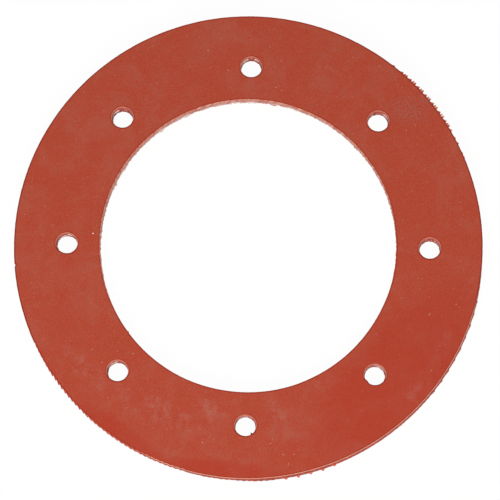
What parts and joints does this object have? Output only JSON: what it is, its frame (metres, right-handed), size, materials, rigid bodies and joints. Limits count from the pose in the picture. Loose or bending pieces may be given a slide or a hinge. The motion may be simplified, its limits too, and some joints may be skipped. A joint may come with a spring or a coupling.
{
  "type": "silicone gasket",
  "caption": "Flat round gasket of red silicone rubber with a large bore and a circle of bolt holes; one stretch of its rim is raggedly cut.",
  "frame": {"origin": "centre of the bore on the bottom face", "axes": "+Z along the bore's axis, up out of the top face; +X through the centre of one bolt hole"},
  "size_m": [0.155, 0.155, 0.005],
  "materials": {
    "silicone": "matte"
  },
  "bodies": {
    "root": {"gasket": "silicone"}
  },
  "joints": []
}
